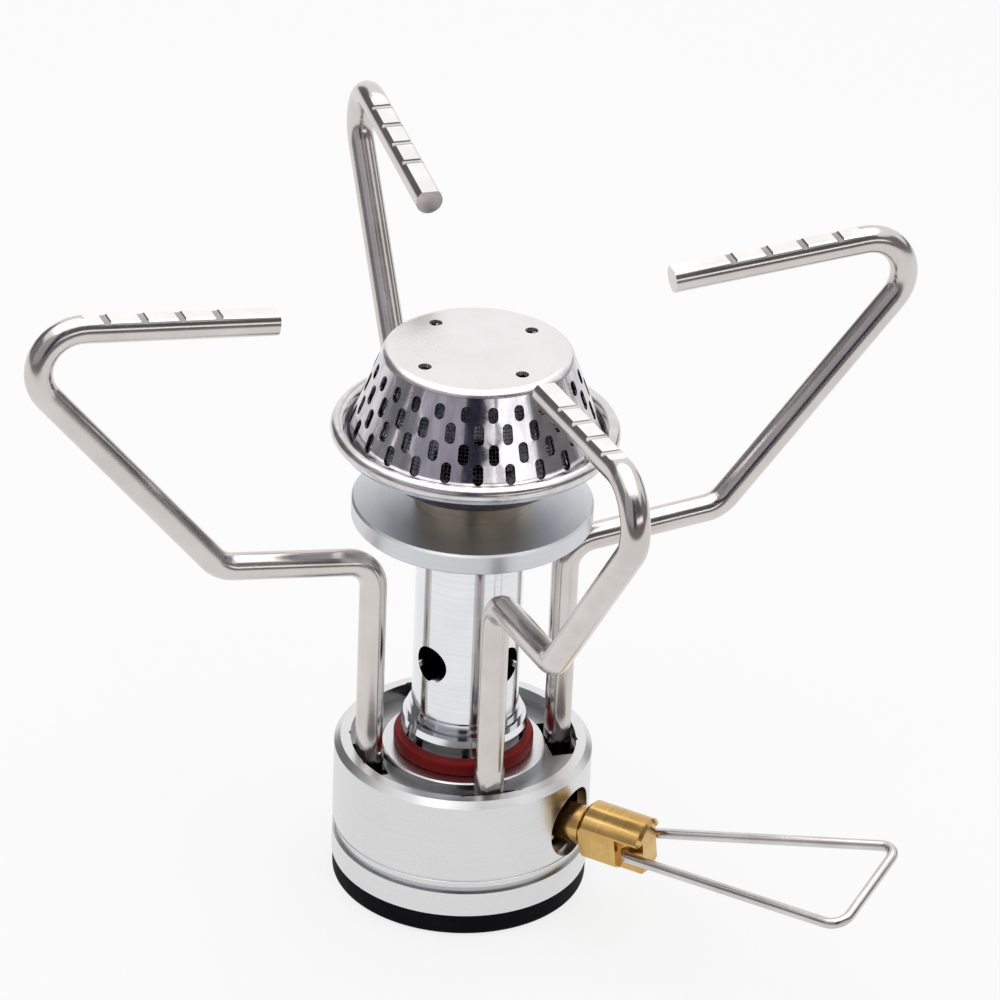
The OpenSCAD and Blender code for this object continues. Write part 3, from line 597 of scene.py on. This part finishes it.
def draw_ring(move, middle=None, scale=None):
    bpy.ops.mesh.extrude_region_move(TRANSFORM_OT_translate={"value": move * MM})
    if scale:
        bpy.ops.transform.resize(value=scale, center_override=middle * MM)


def evenly(scale):
    return (scale, scale, scale)


def follow_path(path, bends, steps):
    points = [Vector((x, 0, z)) for x, z in path]
    here = points[0]
    for i in range(1, len(points)):
        along = (points[i] - points[i - 1]).normalized()
        if i == len(points) - 1:
            draw_ring(points[i] - here)
            return
        after = (points[i + 1] - points[i]).normalized()
        turn = along.angle(after)
        cut = bends[i - 1] * math.tan(turn / 2)
        axis = along.cross(after).normalized()
        middle = points[i] - along * cut + axis.cross(along) * bends[i - 1]
        draw_ring(points[i] - along * cut - here)
        bpy.ops.mesh.spin(steps=steps, angle=-turn, center=middle * MM, axis=axis)
        here = points[i] + after * cut


# Pot supports: bent rods with a crimped foot, a flat along the tip and grooves pressed across it

LEG_CIRCLE = 14.365
BACK_RISE = 2.2
ROD = 4.0
ROD_SIDES = 40
ROD_BEND_STEPS = 14
ROD_EDGE = 0.06
ROD_EDGE_ANGLE = 34
LEG_END = 7.3
LEG_END_ROUND = 0.3
CLIP_GROOVE_LOW = 8.05
CLIP_GROOVE_HIGH = 8.95
CLIP_GROOVE_D = 3.2
CLIP_GROOVE_SLOPE = 0.05
LUG_LOW = 18.7
LUG_HIGH = 26.0
LUG_WIDTH = 4.4
LUG_THICK = 3.4
LUG_LOW_RAMP = 0.15
LUG_HIGH_RAMP = 0.3
LEG_TOP = (0, 53.7)
ARM_END = (23.2, 56.7)
TOP_CORNER = (57.4, 98.8)
TIP_HEIGHT = 94.6
BENDS = (4.6, 5.0, 6.0)
FLAT_DEPTH = 0.4
FLAT_LENGTH = 27.3
FLAT_RUN_OUT = 2.4
NOTCHES = 4
NOTCH_FIRST = 8.9
NOTCH_PITCH = 5.4
NOTCH_DEPTH = 0.4
NOTCH_RADIUS = 0.65
NOTCH_SIDES = 32
OVERCUT = 1


def new_block(size, middle):
    clear_selection()
    bpy.ops.mesh.primitive_cube_add(size=MM)
    block = bpy.context.object
    block.scale = size
    block.location = Vector(middle) * MM
    fix_place()
    return block


def tilt_to_tip(tool, tip, turn):
    tool.rotation_euler = (0, -turn, 0)
    tool.location = tip * MM
    fix_place()


def crimp_flat(side):
    size = (OVERCUT, ROD + 2 * OVERCUT, LUG_HIGH - LUG_LOW)
    return new_block(size, (side * (LUG_THICK + OVERCUT) / 2, 0, (LUG_LOW + LUG_HIGH) / 2))


def tip_flat(tip, turn):
    length = FLAT_LENGTH + OVERCUT
    size = (length, ROD + OVERCUT, 2 * FLAT_DEPTH)
    flat = new_block(size, (length / 2 - OVERCUT, 0, ROD / 2))
    bpy.ops.object.mode_set(mode="EDIT")
    bpy.ops.mesh.select_all(action="DESELECT")
    bpy.ops.object.mode_set(mode="OBJECT")
    for corner in flat.data.vertices:
        corner.select = corner.co.x > length / 2 * MM and corner.co.z > ROD / 2 * MM
    bpy.ops.object.mode_set(mode="EDIT")
    bpy.ops.transform.translate(value=(FLAT_RUN_OUT * MM, 0, 0))
    bpy.ops.object.mode_set(mode="OBJECT")
    tilt_to_tip(flat, tip, turn)
    return flat


def tip_groove(tip, turn, along):
    clear_selection()
    bpy.ops.mesh.primitive_cylinder_add(
        vertices=NOTCH_SIDES,
        radius=NOTCH_RADIUS * MM,
        depth=(ROD + OVERCUT) * MM,
        rotation=(math.pi / 2, 0, 0),
    )
    groove = bpy.context.object
    groove.location = Vector((along, 0, ROD / 2 - FLAT_DEPTH - NOTCH_DEPTH + NOTCH_RADIUS)) * MM
    fix_place()
    tilt_to_tip(groove, tip, turn)
    return groove


def leg_turn(number):
    return math.radians(90 * number - 45)


def leg_place(number, rise):
    leg = leg_turn(number)
    return Matrix.Translation(Vector((LEG_CIRCLE * math.cos(leg), LEG_CIRCLE * math.sin(leg), rise)) * MM)


def pot_support(number, tip_gap, stands_off, rise):
    end_d = ROD - 2 * LEG_END_ROUND
    rod = start_ring(f"support_rod_{number}", UP * LEG_END, UP, end_d, ROD_SIDES, rod_stainless)
    draw_ring(UP * LEG_END_ROUND, UP * (LEG_END + LEG_END_ROUND), evenly(ROD / end_d))
    draw_ring(UP * (CLIP_GROOVE_LOW - LEG_END - LEG_END_ROUND))
    groove_floor = CLIP_GROOVE_LOW + CLIP_GROOVE_SLOPE
    draw_ring(UP * CLIP_GROOVE_SLOPE, UP * groove_floor, evenly(CLIP_GROOVE_D / ROD))
    draw_ring(UP * (CLIP_GROOVE_HIGH - CLIP_GROOVE_LOW - 2 * CLIP_GROOVE_SLOPE))
    draw_ring(UP * CLIP_GROOVE_SLOPE, UP * CLIP_GROOVE_HIGH, evenly(ROD / CLIP_GROOVE_D))
    draw_ring(UP * (LUG_LOW - CLIP_GROOVE_HIGH))
    draw_ring(UP * LUG_LOW_RAMP, UP * (LUG_LOW + LUG_LOW_RAMP), (1, LUG_WIDTH / ROD, 1))
    draw_ring(UP * (LUG_HIGH - LUG_LOW - LUG_LOW_RAMP - LUG_HIGH_RAMP))
    draw_ring(UP * LUG_HIGH_RAMP, UP * LUG_HIGH, (1, ROD / LUG_WIDTH, 1))
    path = [(0, LUG_HIGH), LEG_TOP, ARM_END, TOP_CORNER, (tip_gap, TIP_HEIGHT)]
    follow_path(path, BENDS, ROD_BEND_STEPS)
    close_ends()
    for side in (-1, 1):
        cut_away(rod, crimp_flat(side), rod_stainless)
    tip = Vector((tip_gap, 0, TIP_HEIGHT))
    turn = math.atan2(TOP_CORNER[1] - TIP_HEIGHT, TOP_CORNER[0] - tip_gap)
    # Painted highlight: the flat gets a lighter copy of the rod's finish
    cut_away(rod, tip_flat(tip, turn), flat_lit_stainless)
    # Painted shade: the pressed grooves get a darker copy of the rod's finish
    for i in range(NOTCHES):
        cut_away(rod, tip_groove(tip, turn, NOTCH_FIRST + i * NOTCH_PITCH), groove_shade_stainless)
    ease_edges(rod, ROD_EDGE, ROD_EDGE_ANGLE)
    swing = Matrix.Rotation(leg_turn(number) + math.radians(stands_off), 4, "Z")
    set_in_place(rod, leg_place(number, rise) @ swing)
    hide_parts(f"pot_support_{number}")
    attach(rod, f"support_{number}")


pot_support(1, 14.0, 3.0, 0)
pot_support(2, 13.0, 2.0, BACK_RISE)
pot_support(3, 15.4, 5.5, 0)
pot_support(4, 15.4, 4.5, 0)


# Control wire: a loop that springs into the brass head

WIRE = 1.56
WIRE_SIDES = 24
WIRE_BEND_STEPS = 10
WIRE_EDGE = 0.12
WIRE_EDGE_ANGLE = 50
WIRE_PATH = [(0, 0.4), (0, 2.83), (39.5, 9.3), (39.5, -9.3), (0, -2.83), (0, -0.4)]
WIRE_BENDS = (1.3, 2.4, 2.4, 1.3)
WIRE_PIVOT = Vector((28.8, 0, -0.5))
WIRE_LIFT = math.radians(11)
STEM_TURN = math.radians(11.3)


def control_wire():
    loop = start_ring("wire_loop", UP * WIRE_PATH[0][1], UP, WIRE, WIRE_SIDES, wire_nickel)
    follow_path(WIRE_PATH, WIRE_BENDS, WIRE_BEND_STEPS)
    close_ends()
    ease_edges(loop, WIRE_EDGE, WIRE_EDGE_ANGLE)
    place = Matrix.Translation(UP * VALVE_HEIGHT * MM) @ Matrix.Rotation(STEM_TURN, 4, "X")
    place = place @ Matrix.Translation(WIRE_PIVOT * MM) @ Matrix.Rotation(-WIRE_LIFT, 4, "Y")
    set_in_place(loop, place @ Matrix.Rotation(-math.pi / 2, 4, "X"))
    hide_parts("control_wire")
    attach(loop, "wire")


control_wire()


# Finer cuts in turned nodes: a copy is merged and its flat faces joined before it is cut

NODE_JOIN_DISTANCE = 0.000001
FLAT_ANGLE = math.radians(0.5)


def copy_node(node, name):
    make_active(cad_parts[node])
    bpy.ops.object.duplicate()
    piece = bpy.context.object
    rename(piece, name)
    bpy.ops.object.mode_set(mode="EDIT")
    bpy.ops.mesh.select_all(action="SELECT")
    bpy.ops.mesh.remove_doubles(threshold=NODE_JOIN_DISTANCE)
    bpy.ops.mesh.customdata_custom_splitnormals_clear()
    bpy.ops.mesh.dissolve_limited(angle_limit=FLAT_ANGLE)
    bpy.ops.object.mode_set(mode="OBJECT")
    return piece


# Base: a fine line turned above the seam

BASE_RADIUS = 19.0
LINE_ABOVE_SEAM = 1.18
LINE_RADIUS = 0.2
LINE_DEPTH = 0.13
LINE_STEPS = 180
LINE_SIDES = 16


def base_housing():
    shell = copy_node("base_shell", "housing_shell")
    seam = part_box("base_shell")[0][2] / MM
    clear_selection()
    bpy.ops.mesh.primitive_torus_add(
        major_radius=(BASE_RADIUS + LINE_RADIUS - LINE_DEPTH) * MM,
        minor_radius=LINE_RADIUS * MM,
        major_segments=LINE_STEPS,
        minor_segments=LINE_SIDES,
        location=(0, 0, (seam + LINE_ABOVE_SEAM) * MM),
    )
    cut_away(shell, bpy.context.object, base_aluminium)
    set_in_place(shell, Matrix.Identity(4))
    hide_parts("base_shell")
    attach(shell, "base")


base_housing()


# Canister socket: a three-sided thread is wound and cut round the valve body's bore

THREAD_PITCH = 25.4 / 28
THREAD_ROOT = 5.556
THREAD_TOOTH = 0.37
THREAD_TURNS = 6
THREAD_STEPS = 64
TOOTH_POINTS_OUT = Matrix(((0, 1, 0), (0, 0, 1), (1, 0, 0)))


def canister_socket():
    socket = copy_node("valve_body", "canister_socket")
    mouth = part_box("valve_body")[0][2] / MM
    clear_selection()
    bpy.ops.mesh.primitive_circle_add(
        vertices=3,
        radius=THREAD_TOOTH * MM,
        location=Vector((THREAD_ROOT - THREAD_TOOTH, 0, mouth - THREAD_PITCH / 2)) * MM,
        rotation=TOOTH_POINTS_OUT.to_euler(),
    )
    fix_place()
    cutter = bpy.context.object
    wind_up(cutter, THREAD_PITCH, THREAD_TURNS, THREAD_STEPS)
    cut_away(socket, cutter, socket_brass)
    set_in_place(socket, Matrix.Identity(4))
    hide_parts("valve_body")
    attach(socket, "base")


canister_socket()


# Flame mesh: a cone of fine wires behind the slots

MESH_LOW_R = 16.83
MESH_LOW_Z = 74.28
MESH_HIGH_R = 12.49
MESH_HIGH_Z = 85.77
MESH_WIRES = 180
MESH_ROWS = 23
MESH_WIRE = 0.17


def mesh_radius(row):
    return MESH_LOW_R + (MESH_HIGH_R - MESH_LOW_R) * row / MESH_ROWS


def flame_mesh():
    net = start_ring("mesh_cone", UP * MESH_LOW_Z, UP, 2 * MESH_LOW_R, MESH_WIRES, mesh_steel)
    rise = (MESH_HIGH_Z - MESH_LOW_Z) / MESH_ROWS
    for row in range(MESH_ROWS):
        narrower = mesh_radius(row + 1) / mesh_radius(row)
        draw_ring(UP * rise, UP * (MESH_LOW_Z + rise * (row + 1)), evenly(narrower))
    bpy.ops.mesh.select_all(action="SELECT")
    bpy.ops.mesh.normals_make_consistent(inside=False)
    bpy.ops.object.mode_set(mode="OBJECT")
    make_active(net)
    wires = net.modifiers.new("wires", "WIREFRAME")
    wires.thickness = MESH_WIRE * MM
    wires.use_even_offset = False
    bpy.ops.object.modifier_apply(modifier="wires")
    set_in_place(net, Matrix.Identity(4))
    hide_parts("flame_mesh")
    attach(net, "base")


flame_mesh()


# Leg springs: one coil is wound for each leg, between the clip and the base

SPRING_LOW = 9.0
SPRING_TOP = 12.5
SPRING_WIRE = 0.45
SPRING_MIDDLE = 2.37
SPRING_TURNS = 2
SPRING_SIDES = 10
SPRING_STEPS = 40


def leg_spring(number, rise):
    low = SPRING_LOW + rise + SPRING_WIRE / 2
    high = SPRING_TOP - SPRING_WIRE / 2
    coil = start_ring(
        f"leg_spring_{number}", Vector((SPRING_MIDDLE, 0, low)), Vector((0, 1, 0)),
        SPRING_WIRE, SPRING_SIDES, spring_steel)
    bpy.ops.object.mode_set(mode="OBJECT")
    wind_up(coil, (high - low) / SPRING_TURNS, SPRING_TURNS, SPRING_STEPS)
    place = leg_place(number, 0)
    set_in_place(coil, place)
    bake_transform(coil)
    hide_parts(f"leg_spring_{number}")


leg_spring(1, 0)
leg_spring(2, BACK_RISE)
leg_spring(3, 0)
leg_spring(4, 0)


# Floor, surroundings and lamp

FLOOR_SIZE = 6
FLOOR_DROP = 0.0002
FLOOR_PALE = 0.9
FLOOR_GLOW = 0.8
WORLD_FILL = 0.45
LAMP_AIM = UP * 0.05
WHITE = (1, 1, 1, 1)


def set_floor():
    bpy.ops.mesh.primitive_plane_add(size=FLOOR_SIZE, location=(0, 0, -FLOOR_DROP))
    floor = bpy.context.object
    floor.name = "studio_floor"
    material, tree, surface = new_tree("studio_floor")
    matt = tree.nodes.new("ShaderNodeBsdfDiffuse")
    matt.inputs["Color"].default_value = (FLOOR_PALE, FLOOR_PALE, FLOOR_PALE, 1)
    glow = tree.nodes.new("ShaderNodeEmission")
    path = tree.nodes.new("ShaderNodeLightPath")
    seen = sums(tree, "MAXIMUM", path.outputs["Is Camera Ray"], path.outputs["Is Glossy Ray"])
    mix = tree.nodes.new("ShaderNodeMixShader")
    tree.links.new(sums(tree, "MULTIPLY", seen, FLOOR_GLOW), mix.inputs["Fac"])
    tree.links.new(matt.outputs[0], mix.inputs[1])
    tree.links.new(glow.outputs[0], mix.inputs[2])
    tree.links.new(mix.outputs[0], surface)
    floor.data.materials.append(material)


def set_world():
    world = bpy.data.worlds.new("studio")
    scene.world = world
    world.use_nodes = True
    world.cycles.sampling_method = "NONE"
    tree = world.node_tree
    tree.nodes.clear()
    out = tree.nodes.new("ShaderNodeOutputWorld")
    seen = tree.nodes.new("ShaderNodeBackground")
    seen.inputs["Color"].default_value = WHITE
    lit = tree.nodes.new("ShaderNodeBackground")
    lit.inputs["Color"].default_value = WHITE
    lit.inputs["Strength"].default_value = WORLD_FILL
    path = tree.nodes.new("ShaderNodeLightPath")
    plain = sums(tree, "MAXIMUM", path.outputs["Is Camera Ray"], path.outputs["Is Glossy Ray"])
    through = sums(tree, "MAXIMUM", plain, path.outputs["Is Transmission Ray"])
    mix = tree.nodes.new("ShaderNodeMixShader")
    tree.links.new(through, mix.inputs["Fac"])
    tree.links.new(lit.outputs[0], mix.inputs[1])
    tree.links.new(seen.outputs[0], mix.inputs[2])
    tree.links.new(mix.outputs[0], out.inputs["Surface"])


def softbox(name, place, size, power):
    bpy.ops.object.light_add(type="AREA", location=place)
    lamp = bpy.context.object
    lamp.name = name
    lamp.data.shape = "RECTANGLE"
    lamp.data.size = size[0]
    lamp.data.size_y = size[1]
    lamp.data.energy = power
    lamp.rotation_euler = (LAMP_AIM - lamp.location).to_track_quat("-Z", "Y").to_euler()


set_floor()
set_world()
softbox("over_soft", (-0.05, 0.05, 0.95), (1.2, 1.2), 7)


# Cards that the bright metal mirrors: name, turn from the camera's side, half width, lower and
# upper edge in degrees, then the tone

CARD_REACH = 1.5
CARD_LIFT = 0.08
CAMERA_SIDE = math.degrees(math.atan2(CAMERA_PLACE.y, CAMERA_PLACE.x))
CARDS = (
    ("dark_card_behind", -1, 10, -4, 52, (0.03, 0.03, 0.05)),
    ("dark_card_right_high", 35, 25, 15.5, 52, (0.1, 0.095, 0.095)),
    ("bright_card_right", 37, 20, 7, 15.5, (1.8, 1.78, 1.78)),
    ("dark_card_right_low", 35, 25, -4, 7, (0.12, 0.115, 0.11)),
    ("grey_card_left", -33, 25, -4, 50, (0.42, 0.4, 0.45)),
    ("dark_card_left", -82, 22, -4, 36, (0.23, 0.225, 0.245)),
    ("dark_card_far_left", -127, 22, -4, 36, (0.15, 0.145, 0.15)),
    ("dark_card_far_right", 82, 22, -4, 34, (0.2, 0.19, 0.195)),
    ("dark_card_back_right", 127, 22, -4, 9, (0.14, 0.135, 0.135)),
)
FLOOR_CARD_NEAR = 0.25
FLOOR_CARD_FAR = 1.5
FLOOR_CARD_WIDTH = 3
FLOOR_CARD_LIFT = 0.0004
FLOOR_CARD_TONE = (0.2, 0.19, 0.185)


def new_card(name, size, turn, place, tone):
    clear_selection()
    bpy.ops.mesh.primitive_plane_add(size=1)
    card = bpy.context.object
    card.name = name
    card.scale = (*size, 1)
    card.rotation_euler = turn
    card.location = place
    fix_place()
    material, tree, surface = new_tree(name)
    glow = tree.nodes.new("ShaderNodeEmission")
    glow.inputs["Color"].default_value = (*tone, 1)
    tree.links.new(glow.outputs[0], surface)
    card.data.materials.append(material)
    card.visible_camera = False
    card.visible_diffuse = False
    card.visible_shadow = False


def standing_card(name, turn, half_turn, low, high, tone):
    around = math.radians(CAMERA_SIDE + turn)
    width = 2 * CARD_REACH * math.tan(math.radians(half_turn))
    bottom = CARD_REACH * math.tan(math.radians(low))
    top = CARD_REACH * math.tan(math.radians(high))
    middle = (bottom + top) / 2 + CARD_LIFT
    place = (CARD_REACH * math.cos(around), CARD_REACH * math.sin(around), middle)
    new_card(name, (width, top - bottom), (math.pi / 2, 0, around - math.pi / 2), place, tone)


def floor_card():
    around = math.radians(CAMERA_SIDE)
    middle = (FLOOR_CARD_NEAR + FLOOR_CARD_FAR) / 2
    place = (middle * math.cos(around), middle * math.sin(around), FLOOR_CARD_LIFT)
    size = (FLOOR_CARD_FAR - FLOOR_CARD_NEAR, FLOOR_CARD_WIDTH)
    new_card("dark_card_floor", size, (0, 0, around), place, FLOOR_CARD_TONE)


for card_sizes in CARDS:
    standing_card(*card_sizes)
floor_card()

scene.view_settings.view_transform = "Standard"
